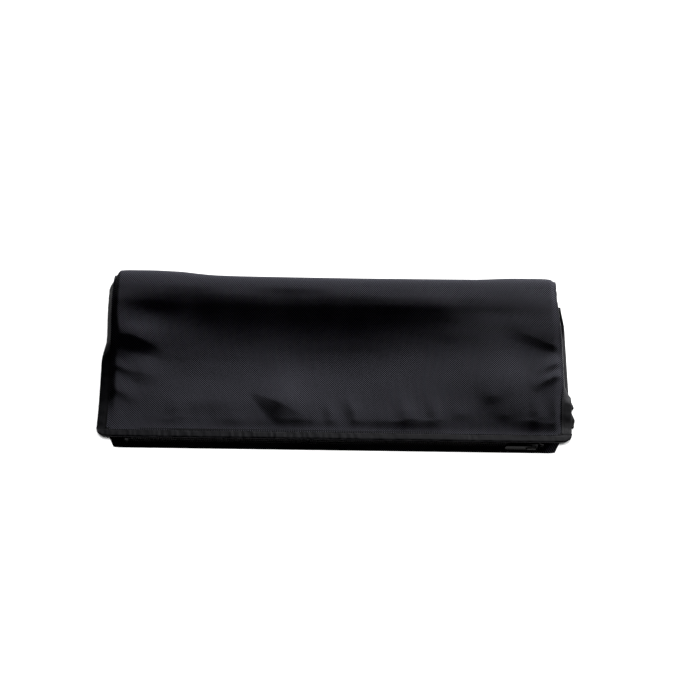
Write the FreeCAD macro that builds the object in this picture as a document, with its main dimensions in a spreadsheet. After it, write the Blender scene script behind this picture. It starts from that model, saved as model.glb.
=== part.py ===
"""Film changing bag, folded in half for storage: a flat double bag of black nylon with two arm sleeves.

Frame: X runs along the fold, -Y is the free front edge, +Z is up. The origin is the middle of the
footprint on the table. All sizes are in millimetres and sit in the spreadsheet made by size_table().
"""
import FreeCAD
import Part
import math
import os
import Sketcher

doc = FreeCAD.newDocument("film_changing_bag")
Vec = FreeCAD.Vector

SIZES = {
    # whole bag
    "bag_w": (432, "overall width of the sewn bag, binding to binding"),
    "depth": (181, "front to back when folded"),
    "fold_r": (19, "outer radius of the rolled back fold"),
    "ply": (0.7, "outer cloth thickness"),
    "lining": (0.5, "rubberised lining thickness"),
    "seam_gap": (0.1, "between two plies in a seam"),
    "lining_gap": (0.15, "between a lining and the cloth it backs"),
    "layer_gap": (0.3, "between layers that move apart"),
    "seam_w": (9.6, "width of the seam binding"),
    "binding_t": (0.4, "thickness of the binding tape"),
    # lower half
    "base_h": (9.2, "height of the lower half"),
    "base_seam_z": (3.9, "underside of the lower half's side seam"),
    "mouth_set": (8, "mouth of the lower half behind the hem"),
    "corner_cut": (16, "corner taken off the seam beside the mouth"),
    "lining_inset": (6, "lining inside the side seam"),
    # upper half
    "cap_len": (14, "length of the rounded end of the roll"),
    "seam_rise": (17, "rise of the side seam at the fold"),
    "seam_rise_len": (48, "reach of that rise in front of the fold"),
    "swell_len": (54, "reach of the roll's swell in front of the fold"),
    "flat_puff": (9.5, "loft of the upper half beyond the swell"),
    "hem_drop": (2.4, "drop of the hem below the flap's underside"),
    "hem_drop_len": (4, "length of that drop"),
    "flap_lining_end": (12, "lining's front edge behind the hem binding"),
    # sleeves
    "sleeve_t": (3.0, "thickness of a flattened sleeve"),
    "sleeve_len": (84, "length of each of a sleeve's two folds"),
    "root_w": (112, "width of a sleeve at the bag"),
    "cuff_w": (60, "width of a sleeve at the wrist"),
    "sleeve_clear": (4.4, "sleeve's front edge behind the hem binding"),
    "hinge_inset": (4, "sleeve's hinge line inside the bag's edge"),
    "root_start": (7, "gap from the hinge line to the sleeve's plies"),
    "root_bulge": (2.4, "how far the sleeve's root fold stands out of the binding"),
    "elastic_w": (10, "width of a cuff elastic"),
    "elastic_t": (0.5, "thickness of a cuff elastic"),
    "forearm_set": (10, "forearm elastic from the sleeve's middle fold"),
    "wrist_set": (3, "wrist elastic from the sleeve's end"),
    # zips
    "inner_set": (28, "inner zip behind the outer zip"),
    "zip_inset": (2, "end of a zip tape inside the flat of the cloth it is sewn to"),
    "zip_tape_t": (0.5, "thickness of the zip tape"),
    "zip_tape_w": (14, "tape sewn flat to the cloth"),
    "tape_slot": (1.2, "slot between the two tapes"),
    "coil_w": (5, "width of the closed coil"),
    "coil_t": (2, "thickness of the coil"),
    "slider_len": (11, "length of the slider"),
    "slider_w": (8.2, "width of the slider"),
    "plate_t": (1.2, "thickness of a slider plate"),
    "zip_clear": (0.3, "running clearance of the slider"),
    "stop_len": (3, "length of an end stop"),
    "stop_gap": (2.5, "gap between the closed slider and the top stops"),
    "bridge_t": (0.8, "thickness of the slider's bridge"),
    "pin_r": (0.6, "radius of the pull's crosspiece"),
    "pull_len": (24, "length of the outer pull"),
    "pull_w": (5.2, "width of the pull"),
    "pull_t": (1.2, "thickness of the pull"),
    "inner_scale": (0.8, "size of the inner zip's parts beside the outer one's"),
    "inner_pull_len": (15, "length of the inner pull"),
}


def size_table():
    """The spreadsheet of driving sizes, one alias to a row."""
    table = doc.addObject("Spreadsheet::Sheet", "Sheet")
    for row, (alias, (value, meaning)) in enumerate(SIZES.items(), start=1):
        table.set(f"A{row}", alias)
        table.set(f"B{row}", str(value))
        table.set(f"C{row}", meaning)
        table.setAlias(f"B{row}", alias)
    return table


class Size:
    """A length that knows both its value and the spreadsheet expression that gives it."""

    def __init__(self, value, text):
        self.value = value
        self.text = text

    def __add__(self, other):
        other = size(other)
        return Size(self.value + other.value, f"({self.text} + {other.text})")

    def __sub__(self, other):
        other = size(other)
        return Size(self.value - other.value, f"({self.text} - {other.text})")

    def __mul__(self, factor):
        factor = size(factor)
        return Size(self.value * factor.value, f"({self.text} * {factor.text})")

    def __truediv__(self, factor):
        return Size(self.value / factor, f"({self.text} / {factor})")

    def __neg__(self):
        return Size(-self.value, f"(-1 * {self.text})")

    def __radd__(self, other):
        return size(other) + self

    def __rsub__(self, other):
        return size(other) - self

    def __rmul__(self, other):
        return self * other


def size(value):
    return value if isinstance(value, Size) else Size(float(value), f"{float(value)}")


sheet = size_table()
doc.recompute()
S = {alias: Size(float(sheet.get(alias)), f"Sheet.{alias}") for alias in SIZES}

# Places that several pieces share.
edge_x = S["bag_w"] / 2
seam_x = edge_x - S["seam_w"]
cloth_x = edge_x - S["binding_t"]
cap_x = seam_x - S["cap_len"]
lining_x = cap_x - S["lining_inset"]
front_y = -S["depth"] / 2
hem_y = front_y + S["seam_w"]
fold_y = S["depth"] / 2 - S["fold_r"]
mouth_y = front_y + S["mouth_set"]
flap_len = fold_y - hem_y
sandwich = 2 * S["ply"] + S["seam_gap"]

end_z = S["base_h"] + S["layer_gap"]
root_z = end_z + S["sleeve_t"] + S["layer_gap"]
under_z = root_z + S["sleeve_t"] + S["layer_gap"]
hinge_x = edge_x - S["hinge_inset"]
hinge_z = under_z - S["layer_gap"] / 2
mid_x = hinge_x - S["sleeve_len"]
mid_z = root_z - S["layer_gap"] / 2
sleeve_front_y = hem_y + S["sleeve_clear"]

parts = []


def keep(obj, label):
    """Names a finished sub-part; its label names its file."""
    obj.Label = label
    parts.append(obj)
    return obj


def bind(obj, **properties):
    """Drives properties of obj from the spreadsheet; x, y and z are its place."""
    for name, value in properties.items():
        target = f"Placement.Base.{name}" if name in ("x", "y", "z") else name
        obj.setExpression(target, size(value).text)


def block(name, low, high):
    """A Part::Box between two corners given as sizes."""
    box = doc.addObject("Part::Box", name)
    low = [size(v) for v in low]
    spans = [size(b) - a for a, b in zip(low, high)]
    bind(box, Length=spans[0], Width=spans[1], Height=spans[2], x=low[0], y=low[1], z=low[2])
    return box


def origin_plane(body, role):
    return next(f for f in body.Origin.OriginFeatures if f.Role == role)


def polygon_sketch(body, name, role, points):
    """A closed outline on one of the body's origin planes, each corner held by the spreadsheet."""
    sketch = body.newObject("Sketcher::SketchObject", name)
    sketch.AttachmentSupport = [(origin_plane(body, role), "")]
    sketch.MapMode = "FlatFace"
    corners = [(size(u), size(v)) for u, v in points]
    count = len(corners)
    for i in range(count):
        start, stop = corners[i], corners[(i + 1) % count]
        line = Part.LineSegment(
            Vec(start[0].value, start[1].value, 0), Vec(stop[0].value, stop[1].value, 0)
        )
        sketch.addGeometry(line, False)
    for i in range(count):
        sketch.addConstraint(Sketcher.Constraint("Coincident", i, 2, (i + 1) % count, 1))
    for i, (u, v) in enumerate(corners):
        for kind, held in (("DistanceX", u), ("DistanceY", v)):
            index = sketch.addConstraint(Sketcher.Constraint(kind, -1, 1, i, 1, held.value))
            sketch.setExpression(f"Constraints[{index}]", held.text)
    return sketch


def padded_body(name, role, points, length, **place):
    """A PartDesign body: one outline padded to both sides of its plane."""
    body = doc.addObject("PartDesign::Body", name)
    sketch = polygon_sketch(body, name + "_outline", role, points)
    pad = body.newObject("PartDesign::Pad", name + "_pad")
    pad.Profile = sketch
    pad.Midplane = True
    pad.setExpression("Length", size(length).text)
    sketch.Visibility = False
    bind(body, **place)
    return body


def cut_corners(body, name, points_by_corner):
    """Takes pieces off a body from above, right through."""
    doc.recompute()
    before = body.Shape.Volume
    for i, points in enumerate(points_by_corner):
        sketch = polygon_sketch(body, f"{name}_corner{i}", "XY_Plane", points)
        pocket = body.newObject("PartDesign::Pocket", f"{name}_cut{i}")
        pocket.Profile = sketch
        pocket.Midplane = True
        pocket.setExpression("Length", (4 * S["base_h"]).text)
        sketch.Visibility = False
    doc.recompute()
    if not body.Shape.Volume < before:
        raise RuntimeError(f"{name}: the corner cut took nothing away")


def fused(name, pieces):
    joined = doc.addObject("Part::MultiFuse", name)
    joined.Shapes = pieces
    joined.Refine = True
    return joined


def half_tube(name, centre, r_out, r_in, length, outward):
    """Half a tube lying along Y, its round back towards outward (+1 for +X, -1 for -X)."""
    halves = []
    for tag, radius in (("outer", r_out), ("inner", r_in)):
        half = doc.addObject("Part::Cylinder", f"{name}_{tag}")
        half.Angle = 180
        bind(half, Radius=radius, Height=length)
        turn = FreeCAD.Rotation(Vec(1, 0, 0), -90)
        spin = FreeCAD.Rotation(Vec(0, 0, 1), -90 if outward > 0 else 90)
        half.Placement = FreeCAD.Placement(Vec(0, 0, 0), turn * spin)
        bind(half, x=centre[0], y=centre[1] - size(length) / 2, z=centre[2])
        halves.append(half)
    cut = doc.addObject("Part::Cut", name)
    cut.Base, cut.Tool = halves
    return cut


def blend01(t):
    """Rises from 0 to 1 with no slope at either end."""
    t = min(1.0, max(0.0, t))
    return t * t * (3 - 2 * t)


# Spacing of the points that a cloth's section is drawn through.
RIBBON_STEP = 9
# Rounding of a coil's edges as a share of its smaller side.
COIL_ROUND = 0.4

# Shape of the cloth across the bag and in front of the fold, in plain numbers.

def fullness(x):
    """1 along the body of the roll, falling round its end to 0 at the side seam."""
    t = (abs(x) - cap_x.value) / S["cap_len"].value
    t = min(1.0, max(0.0, t))
    return (1 - t * t) ** 1.5


def seam_puff(d):
    return S["seam_rise"].value * (1 - blend01(d / S["seam_rise_len"].value))


def crest_puff():
    return (2 * S["fold_r"] - under_z - sandwich).value


def body_puff(d):
    loft = S["flat_puff"].value
    swell = (crest_puff() - loft) * (1 - blend01(d / S["swell_len"].value))
    return swell + loft * max(0.0, 1 - d / flap_len.value) ** 0.7


def under_face(d):
    """Lowest face of the upper half at distance d in front of the fold, away from the seams."""
    start = flap_len.value - S["hem_drop_len"].value
    return under_z.value - S["hem_drop"].value * blend01((d - start) / S["hem_drop_len"].value)


def flap_bottom(x, d):
    return under_face(d) + (1 - fullness(x)) * seam_puff(d)


def flap_top(x, d):
    full = fullness(x)
    return under_face(d) + sandwich.value + full * body_puff(d) + (1 - full) * seam_puff(d)


def base_bottom(x):
    return (1 - fullness(x)) * S["base_seam_z"].value


def base_top(x):
    seam_top = (S["base_seam_z"] + sandwich).value
    return seam_top + fullness(x) * (S["base_h"].value - seam_top)


def stations():
    """Places across the bag where the cloth's section is drawn, closer together round the roll's end."""
    cap, seam, cloth = cap_x.value, seam_x.value, cloth_x.value
    half = [cap] + [cap + t * (seam - cap) for t in (0.35, 0.6, 0.8, 0.92)] + [seam, cloth]
    return [-x for x in reversed(half)] + half


def spline(points):
    curve = Part.BSplineCurve()
    curve.interpolate(points)
    return curve.toShape()


def ribbon_wire(x, top, thickness, breaks):
    """Closed section of a sheet at x: the top line, and the same line lowered by the thickness.

    The line is drawn one stretch at a time between the breaks, so a short drop stays where it is.
    """
    stretches = []
    for start, stop in zip(breaks, breaks[1:]):
        steps = max(4, round((stop - start) / RIBBON_STEP))
        places = [start + (stop - start) * i / steps for i in range(steps + 1)]
        stretches.append([Vec(x, fold_y.value - d, top(x, d)) for d in places])
    lowered = [[p - Vec(0, 0, thickness) for p in points] for points in stretches]
    edges = [spline(points) for points in stretches]
    edges.append(Part.makeLine(stretches[-1][-1], lowered[-1][-1]))
    edges += [spline(points[::-1]) for points in reversed(lowered)]
    edges.append(Part.makeLine(lowered[0][0], stretches[0][0]))
    return Part.Wire(edges)


def arc(x, y, z, radius):
    """Half circle about (y, z) in the plane at x, from below, round the back, to the top."""
    low, back, high = Vec(x, y, z - radius), Vec(x, y + radius, z), Vec(x, y, z + radius)
    return Part.Arc(low, back, high).toShape()


def ring_wire(x, low, high, thickness):
    """Closed section of a sheet rolled from height low to height high behind the fold line."""
    radius, z = (high - low) / 2, (high + low) / 2
    y = fold_y.value
    inner = radius - thickness
    return Part.Wire(
        [
            arc(x, y, z, radius),
            Part.makeLine(Vec(x, y, z + radius), Vec(x, y, z + inner)),
            arc(x, y, z, inner),
            Part.makeLine(Vec(x, y, z - inner), Vec(x, y, z - radius)),
        ]
    )


def loft_feature(label, wires):
    shape = Part.makeLoft(wires, True, True)
    feature = doc.addObject("Part::Feature", label)
    feature.Shape = shape
    return keep(feature, label)


def lower_half():
    """Outer cloth, linings and side bindings of the half that lies on the table."""
    ply, gap = S["ply"], S["lining_gap"]
    run = fold_y - mouth_y
    centre = (fold_y + mouth_y) / 2
    seam, seam_top = S["base_seam_z"], S["base_seam_z"] + sandwich
    corner = S["corner_cut"]
    corners = [
        [
            (side * edge_x + side, mouth_y - centre - 1),
            (side * (cloth_x - corner), mouth_y - centre - 1),
            (side * (cloth_x - corner), mouth_y - centre),
            (side * edge_x + side, mouth_y - centre + corner),
        ]
        for side in (-1, 1)
    ]

    def tray(name, inner, outer):
        """Section across the bag: flat in the middle, out to the seam at both sides."""
        level = [(-cloth_x, outer), (-seam_x, outer), (-cap_x, inner)]
        level += [(cap_x, inner), (seam_x, outer), (cloth_x, outer)]
        lifted = [(x, z + ply) for x, z in reversed(level)]
        body = padded_body(name, "XZ_Plane", level + lifted, run, y=centre)
        cut_corners(body, name, corners)
        return keep(body, name)

    tray("base_outer_lower", size(0), seam)
    tray("base_outer_upper", S["base_h"] - ply, seam_top - ply)
    lining_front = mouth_y + S["inner_set"]
    for label, z in (
        ("base_lining_lower", ply + gap),
        ("base_lining_upper", S["base_h"] - ply - gap - S["lining"]),
    ):
        low = (-lining_x, lining_front, z)
        high = (lining_x, fold_y, z + S["lining"])
        keep(block(label, low, high), label)
    for side, word in ((-1, "left"), (1, "right")):
        outline = binding_section(side, seam, seam_top)
        length = run - corner
        place = fold_y - length / 2
        label = f"base_binding_{word}"
        keep(padded_body(label, "XZ_Plane", outline, length, y=place), label)


def binding_section(side, low, high):
    """Section of a folded tape round a seam whose plies lie between low and high."""
    tape = S["binding_t"]
    return [
        (side * seam_x, low - tape),
        (side * edge_x, low - tape),
        (side * edge_x, high + tape),
        (side * seam_x, high + tape),
        (side * seam_x, high),
        (side * cloth_x, high),
        (side * cloth_x, low),
        (side * seam_x, low),
    ]


def back_fold():
    """Cloth, linings and bindings where the bag turns over at the back."""
    ply, gap, lining = S["ply"].value, S["lining_gap"].value, S["lining"].value
    xs = stations()
    loft_feature(
        "fold_outer_cover", [ring_wire(x, base_bottom(x), flap_top(x, 0), ply) for x in xs]
    )
    loft_feature(
        "fold_inner_cover",
        [ring_wire(x, base_top(x) - ply, flap_bottom(x, 0) + ply, ply) for x in xs],
    )
    reach = lining_x.value
    outer_low, outer_high = ply + gap, 2 * S["fold_r"].value - ply - gap
    inner_low = S["base_h"].value - ply - gap - lining
    inner_high = under_z.value + ply + gap + lining
    for label, low, high in (
        ("fold_lining_outer", outer_low, outer_high),
        ("fold_lining_inner", inner_low, inner_high),
    ):
        loft_feature(label, [ring_wire(x, low, high, lining) for x in (-reach, reach)])
    for side, word in ((-1, "left"), (1, "right")):
        fold_binding(side, f"fold_binding_{word}")


def fold_binding(side, label):
    """Tape folded round the side seam where it goes round the fold."""
    tape = S["binding_t"].value
    low, high = S["base_seam_z"].value, flap_top(edge_x.value, 0)
    within = seam_x.value - 1

    def solid(inside, outside, grow):
        thick = sandwich.value + 2 * grow
        ends = (side * inside, side * outside)
        wires = [ring_wire(x, low - grow, high + grow, thick) for x in ends]
        return Part.makeLoft(wires, True, True)

    feature = doc.addObject("Part::Feature", label)
    tape_ring = solid(seam_x.value, edge_x.value, tape)
    feature.Shape = tape_ring.cut(solid(within, cloth_x.value, 0))
    return keep(feature, label)


def upper_half():
    """Outer cloth, linings and bindings of the half folded over on top."""
    ply, gap = S["ply"].value, S["lining_gap"].value
    lining = S["lining"].value
    xs = stations()
    drop_start = (flap_len - S["hem_drop_len"]).value
    span = (0, drop_start, flap_len.value, (fold_y - front_y - S["binding_t"]).value)
    loft_feature("flap_outer_upper", [ribbon_wire(x, flap_top, ply, span) for x in xs])

    def under_top(x, d):
        return flap_bottom(x, d) + ply

    loft_feature("flap_outer_lower", [ribbon_wire(x, under_top, ply, span) for x in xs])
    reach = lining_x.value
    lining_span = (0, (flap_len - S["flap_lining_end"]).value)

    def lining_top(x, d):
        return flap_top(x, d) - ply - gap

    wires = [ribbon_wire(x, lining_top, lining, lining_span) for x in (-reach, reach)]
    loft_feature("flap_lining_upper", wires)
    low = (-reach, hem_y + S["flap_lining_end"], under_z + S["ply"] + S["lining_gap"])
    high = (reach, fold_y, low[2] + S["lining"])
    keep(block("flap_lining_lower", low, high), "flap_lining_lower")
    for side, word in ((-1, "left"), (1, "right")):
        flap_binding(side, f"flap_binding_{word}")
    hem_low = under_z - S["hem_drop"]
    hem_high = hem_low + sandwich
    tape = S["binding_t"]
    outline = [
        (hem_y, hem_low - tape),
        (front_y, hem_low - tape),
        (front_y, hem_high + tape),
        (hem_y, hem_high + tape),
        (hem_y, hem_high),
        (front_y + tape, hem_high),
        (front_y + tape, hem_low),
        (hem_y, hem_low),
    ]
    keep(padded_body("hem_binding", "YZ_Plane", outline, S["bag_w"]), "hem_binding")


def flap_binding(side, label):
    """Tape folded round the side seam, following its rise to the fold."""
    tape = S["binding_t"].value
    length = flap_len.value
    thick = sandwich.value

    def solid(inside, outside, grow):
        def top(x, d):
            return flap_top(edge_x.value, d) + grow

        span = (0, length - S["hem_drop_len"].value, length)
        wires = [ribbon_wire(side * x, top, thick + 2 * grow, span) for x in (inside, outside)]
        return Part.makeLoft(wires, True, True)

    outer = solid(seam_x.value, edge_x.value, tape)
    inner = solid(seam_x.value - 1, cloth_x.value, 0)
    feature = doc.addObject("Part::Feature", label)
    feature.Shape = outer.cut(inner)
    return keep(feature, label)


def sleeve(side, word):
    """One arm sleeve, flattened and folded in two under the flap."""
    ply, thick = S["ply"], S["sleeve_t"]
    name = f"sleeve_{word}"
    outer_x = hinge_x - S["root_start"]
    back_root = sleeve_front_y + S["root_w"]
    back_cuff = sleeve_front_y + S["cuff_w"]
    root_outline = [
        (side * outer_x, sleeve_front_y),
        (side * outer_x, back_root),
        (side * mid_x, back_cuff),
        (side * mid_x, sleeve_front_y),
    ]
    for level, z in (("upper", root_z + thick - ply), ("lower", root_z)):
        label = f"{name}_root_{level}"
        keep(padded_body(label, "XY_Plane", root_outline, ply, z=z + ply / 2), label)
    for level, z in (("upper", end_z + thick - ply), ("lower", end_z)):
        label = f"{name}_end_{level}"
        low_x, high_x = sorted((side * mid_x, side * outer_x), key=lambda s: s.value)
        low = (low_x, sleeve_front_y, z)
        keep(block(label, low, (high_x, back_cuff, z + ply)), label)

    elastic_low, elastic_high = end_z + ply, end_z + thick - ply
    for label, start in (
        (f"{name}_wrist_elastic", outer_x - S["wrist_set"] - S["elastic_w"]),
        (f"{name}_forearm_elastic", mid_x + S["forearm_set"]),
    ):
        stop = start + S["elastic_w"]
        low_x, high_x = sorted((side * start, side * stop), key=lambda s: s.value)
        band = S["elastic_t"]
        low = (low_x, sleeve_front_y + band, elastic_low)
        high = (high_x, back_cuff - band, elastic_high)
        ring = doc.addObject("Part::Cut", label)
        ring.Base = block(label + "_outer", low, high)
        hole_low = (low_x - 1, low[1] + band, elastic_low + band)
        hole_high = (high_x + 1, high[1] - band, elastic_high - band)
        ring.Tool = block(label + "_hole", hole_low, hole_high)
        keep(ring, label)

    mid_y = (sleeve_front_y + back_cuff) / 2
    half = thick + S["layer_gap"] / 2
    for tag, r_out in (("outer", half), ("inner", S["layer_gap"] / 2 + ply)):
        centre = (side * mid_x, mid_y, mid_z)
        turn = half_tube(f"{name}_turn_{tag}", centre, r_out, r_out - ply, S["cuff_w"], -side)
        keep(turn, f"{name}_mid_fold_{tag}")

    root_y = (sleeve_front_y + back_root) / 2
    radius = thick / 2
    drop = S["layer_gap"]
    centre_x = edge_x + S["root_bulge"] - radius
    centre_z = root_z + radius - drop
    tube_centre = (side * centre_x, root_y, centre_z)
    tube = half_tube(
        f"{name}_root_turn", tube_centre, radius, radius - ply, S["root_w"], side
    )
    legs = []
    for level, z in (("upper", centre_z + radius - ply), ("lower", centre_z - radius)):
        low_x, high_x = sorted(
            (side * (outer_x + S["layer_gap"]), side * centre_x), key=lambda s: s.value
        )
        low = (low_x, sleeve_front_y, z)
        high = (high_x, back_root, z + ply)
        legs.append(block(f"{name}_root_leg_{level}", low, high))
    keep(fused(f"{name}_root_fold", [tube] + legs), f"{name}_root_fold")


def zipper(word, y, low, high, scale, pull_len, half_run):
    """A coil zip standing in a mouth between two plies, its tapes turned back along them.

    y is the front face of the tapes; low and high are the plies' inner faces; half_run is half of
    the tapes' length.
    """
    gap, tape = S["seam_gap"], S["zip_tape_t"]
    centre = (low + high) / 2
    opening = high - low
    slot = S["tape_slot"] / 2
    back = y + S["zip_tape_w"] * scale
    for level, edge, sign in (("lower", low + gap, 1), ("upper", high - gap, -1)):
        outline = [
            (y, centre - sign * slot),
            (y, edge),
            (back, edge),
            (back, edge + sign * tape),
            (y + tape, edge + sign * tape),
            (y + tape, centre - sign * slot),
        ]
        label = f"{word}_zip_tape_{level}"
        keep(padded_body(label, "YZ_Plane", outline, 2 * half_run), label)

    length, width = S["slider_len"] * scale, S["slider_w"] * scale
    plate, clear = S["plate_t"] * scale, S["zip_clear"] * scale
    coil_w, coil_t = S["coil_w"] * scale, S["coil_t"] * scale
    stop = S["stop_len"] * scale
    slider_x = half_run - stop - S["stop_gap"] - length / 2
    coil_front = y - clear / 2 - coil_t

    # End stops and coils: one stop across the start, then a coil and a stop on each tape, with the
    # slot that the slider's neck runs in between them.
    low = (-half_run, coil_front, centre - coil_w / 2)
    label = f"{word}_zip_bottom_stop"
    keep(block(label, low, (-half_run + stop, y, centre + coil_w / 2)), label)
    coil_h = coil_w / 2 - slot
    for level, z in (("lower", centre - coil_w / 2), ("upper", centre + slot)):
        low = (half_run - stop, coil_front, z)
        label = f"{word}_zip_top_stop_{level}"
        keep(block(label, low, (half_run, y, z + coil_h)), label)
        bar = block(
            f"{word}_zip_coil_bar_{level}",
            (-half_run + stop, coil_front, z),
            (half_run - stop, y - clear / 2, z + coil_h),
        )
        coil = doc.addObject("Part::Fillet", f"{word}_zip_coil_{level}")
        coil.Base = bar
        doc.recompute()
        radius = COIL_ROUND * min(coil_t.value, coil_h.value)
        sides = [i for i, e in enumerate(bar.Shape.Edges, start=1) if runs_along_x(e)]
        coil.Edges = [(i, radius, radius) for i in sides]
        keep(coil, f"{word}_zip_coil_{level}")

    # Slider: front plate with side flanges, a neck through the slot, a back plate and a bridge.
    front = coil_front - clear
    left, right = slider_x - length / 2, slider_x + length / 2
    flange = (width - coil_w) / 2 - 2 * clear
    bridge = S["bridge_t"] * scale
    reach = length * 0.36
    pin_y = front - plate - clear - S["pin_r"]
    bar_y = pin_y - S["pin_r"] - clear
    low_z, high_z = centre - width / 2, centre + width / 2
    face = padded_body(
        f"{word}_slider_face",
        "XZ_Plane",
        [
            (left, -width * 0.38),
            (left + length * 0.45, -width / 2),
            (right, -width / 2),
            (right, width / 2),
            (left + length * 0.45, width / 2),
            (left, width * 0.38),
        ],
        plate,
        y=front - plate / 2,
        z=centre,
    )
    tail = [face]
    inner_half = opening / 2 - gap - tape - clear
    tail.append(
        block(
            f"{word}_slider_back",
            (left, y + tape + clear, centre - inner_half),
            (right, y + tape + clear + plate, centre + inner_half),
        )
    )
    tail.append(
        block(
            f"{word}_slider_neck",
            (slider_x + length * 0.14, front - plate / 2, centre - slot + clear / 2),
            (right - plate / 2, y + tape + clear + plate / 2, centre + slot - clear / 2),
        )
    )
    for level, z in (("low", low_z), ("high", high_z - flange)):
        tail.append(
            block(
                f"{word}_slider_flange_{level}",
                (left + length * 0.45, front - plate / 2, z),
                (right, y - clear, z + flange),
            )
        )
    for end, x in (("tail", slider_x - reach), ("nose", slider_x + reach - bridge)):
        tail.append(
            block(
                f"{word}_slider_post_{end}",
                (x, bar_y - bridge, centre - bridge),
                (x + bridge, front - plate / 2, centre + bridge),
            )
        )
    tail.append(
        block(
            f"{word}_slider_bar",
            (slider_x - reach, bar_y - bridge, centre - bridge),
            (slider_x + reach, bar_y, centre + bridge),
        )
    )
    keep(fused(f"{word}_zip_slider", tail), f"{word}_zip_slider")

    # Pull: crosspiece under the bridge, two arms either side of it, and the tab.
    pull_w, pull_t = S["pull_w"] * scale, S["pull_t"]
    arm_in = bridge + clear * 2
    window = reach + bridge + clear * 2
    pin = doc.addObject("Part::Cylinder", f"{word}_pull_pin")
    bind(pin, Radius=S["pin_r"], Height=pull_w)
    bind(pin, x=slider_x, y=pin_y, z=centre - pull_w / 2)
    pieces = [pin]
    half_t = pull_t / 2
    for level, z in (("low", centre - pull_w / 2), ("high", centre + arm_in)):
        pieces.append(
            block(
                f"{word}_pull_arm_{level}",
                (slider_x - window - 1, pin_y - half_t, z),
                (slider_x, pin_y + half_t, z + pull_w / 2 - arm_in),
            )
        )
    tab = padded_body(
        f"{word}_pull_tab",
        "XZ_Plane",
        [
            (slider_x - window, -pull_w / 2),
            (slider_x - window, pull_w / 2),
            (slider_x - pull_len + pull_w / 4, pull_w / 2),
            (slider_x - pull_len, pull_w / 4),
            (slider_x - pull_len, -pull_w / 4),
            (slider_x - pull_len + pull_w / 4, -pull_w / 2),
        ],
        pull_t,
        y=pin_y,
        z=centre,
    )
    pieces.append(tab)
    keep(fused(f"{word}_zip_pull", pieces), f"{word}_zip_pull")
    print(
        f"{word} zip: slider x {slider_x.value:.2f}, pin y {pin_y.value:.2f}, z {centre.value:.2f},"
        f" travel {(2 * slider_x.value - S['stop_gap'].value):.2f}"
    )


def runs_along_x(edge):
    a, b = edge.Vertexes[0].Point, edge.Vertexes[-1].Point
    return abs(a.x - b.x) > 0.9 * edge.Length


def write_parts():
    """Checks every object and sub-part, then writes one STEP file each."""
    doc.recompute()
    for obj in doc.Objects:
        if "Invalid" in obj.State or "Error" in obj.State:
            raise RuntimeError(f"{obj.Name} failed: {obj.State}")
    os.makedirs("parts", exist_ok=True)
    for obj in parts:
        shape = obj.Shape
        if shape.isNull() or not shape.isValid() or not shape.Solids:
            raise RuntimeError(f"{obj.Label} has no valid solid")
        if min(s.Volume for s in shape.Solids) <= 0:
            raise RuntimeError(f"{obj.Label} is inside out")
        shape.exportStep(os.path.join("parts", obj.Label + ".step"))
    print(f"{len(parts)} sub-parts written")


lower_half()
back_fold()
upper_half()
sleeve(-1, "left")
sleeve(1, "right")
inner_low = S["ply"] + S["lining_gap"] + S["lining"]
inner_high = S["base_h"] - inner_low
outer_front = mouth_y - S["zip_tape_t"]
outer_run = cap_x - S["zip_inset"]
outer_high = S["base_h"] - S["ply"]
zipper("outer", outer_front, S["ply"], outer_high, size(1), S["pull_len"], outer_run)
inner_front = mouth_y + S["inner_set"] - S["zip_tape_t"]
inner_run = lining_x - S["zip_inset"]
inner_scale = S["inner_scale"]
zipper("inner", inner_front, inner_low, inner_high, inner_scale, S["inner_pull_len"], inner_run)
print(
    f"fold y {fold_y.value:.2f}, z {S['fold_r'].value:.2f}; sleeve hinge x {hinge_x.value:.2f},"
    f" z {hinge_z.value:.2f}; sleeve middle x {mid_x.value:.2f}, z {mid_z.value:.2f}"
)
write_parts()
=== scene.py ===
import math

import bmesh
import bpy
import numpy as np
from mathutils import Matrix, Vector, noise


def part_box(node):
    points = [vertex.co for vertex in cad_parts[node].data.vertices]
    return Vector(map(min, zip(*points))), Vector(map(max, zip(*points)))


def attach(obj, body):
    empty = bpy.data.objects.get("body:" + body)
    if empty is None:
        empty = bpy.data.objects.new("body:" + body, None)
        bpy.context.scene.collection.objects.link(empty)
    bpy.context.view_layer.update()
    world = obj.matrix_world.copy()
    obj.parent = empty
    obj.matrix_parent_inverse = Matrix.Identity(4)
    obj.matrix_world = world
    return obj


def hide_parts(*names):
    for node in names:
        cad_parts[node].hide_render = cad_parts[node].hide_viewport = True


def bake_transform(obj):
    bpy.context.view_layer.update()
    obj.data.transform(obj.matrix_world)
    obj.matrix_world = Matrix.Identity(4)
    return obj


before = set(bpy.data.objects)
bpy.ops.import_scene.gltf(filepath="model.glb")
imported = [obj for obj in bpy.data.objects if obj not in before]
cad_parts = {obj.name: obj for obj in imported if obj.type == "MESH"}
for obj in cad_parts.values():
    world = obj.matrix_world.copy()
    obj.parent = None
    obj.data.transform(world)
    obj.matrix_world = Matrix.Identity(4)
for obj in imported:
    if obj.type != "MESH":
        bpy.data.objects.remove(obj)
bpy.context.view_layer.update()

mm = 0.001

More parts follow.
